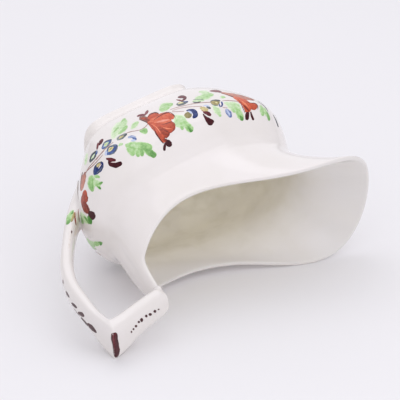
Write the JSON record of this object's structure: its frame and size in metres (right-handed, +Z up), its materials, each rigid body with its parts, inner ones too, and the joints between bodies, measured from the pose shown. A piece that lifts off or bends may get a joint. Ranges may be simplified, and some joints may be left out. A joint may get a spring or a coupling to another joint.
{
  "type": "cream jug",
  "caption": "Small footed table jug with a boat-shaped mouth, a broad pouring lip, an angular strap handle and a painted garland of flowers on a white glaze.",
  "frame": {"origin": "on the ground, at the middle of the jug's whole length from lip to handle and in its plane of symmetry", "axes": "+X towards the handle, -X towards the pouring lip, +Y across the jug, +Z up out of the mouth"},
  "size_m": [0.1436, 0.0734, 0.0974],
  "materials": {
    "body_glaze": "glossy off-white glaze over a pale clay, painted over the glaze with a garland in orange-red, green, blue, olive yellow and dark maroon",
    "foot_glaze": "the same glaze, wiped thin where the foot stands",
    "handle_glaze": "the same glossy off-white glaze with brush touches in dark maroon and green"
  },
  "bodies": {
    "root": {"body": "body_glaze", "foot_ring": "foot_glaze", "handle": "handle_glaze"}
  },
  "joints": []
}
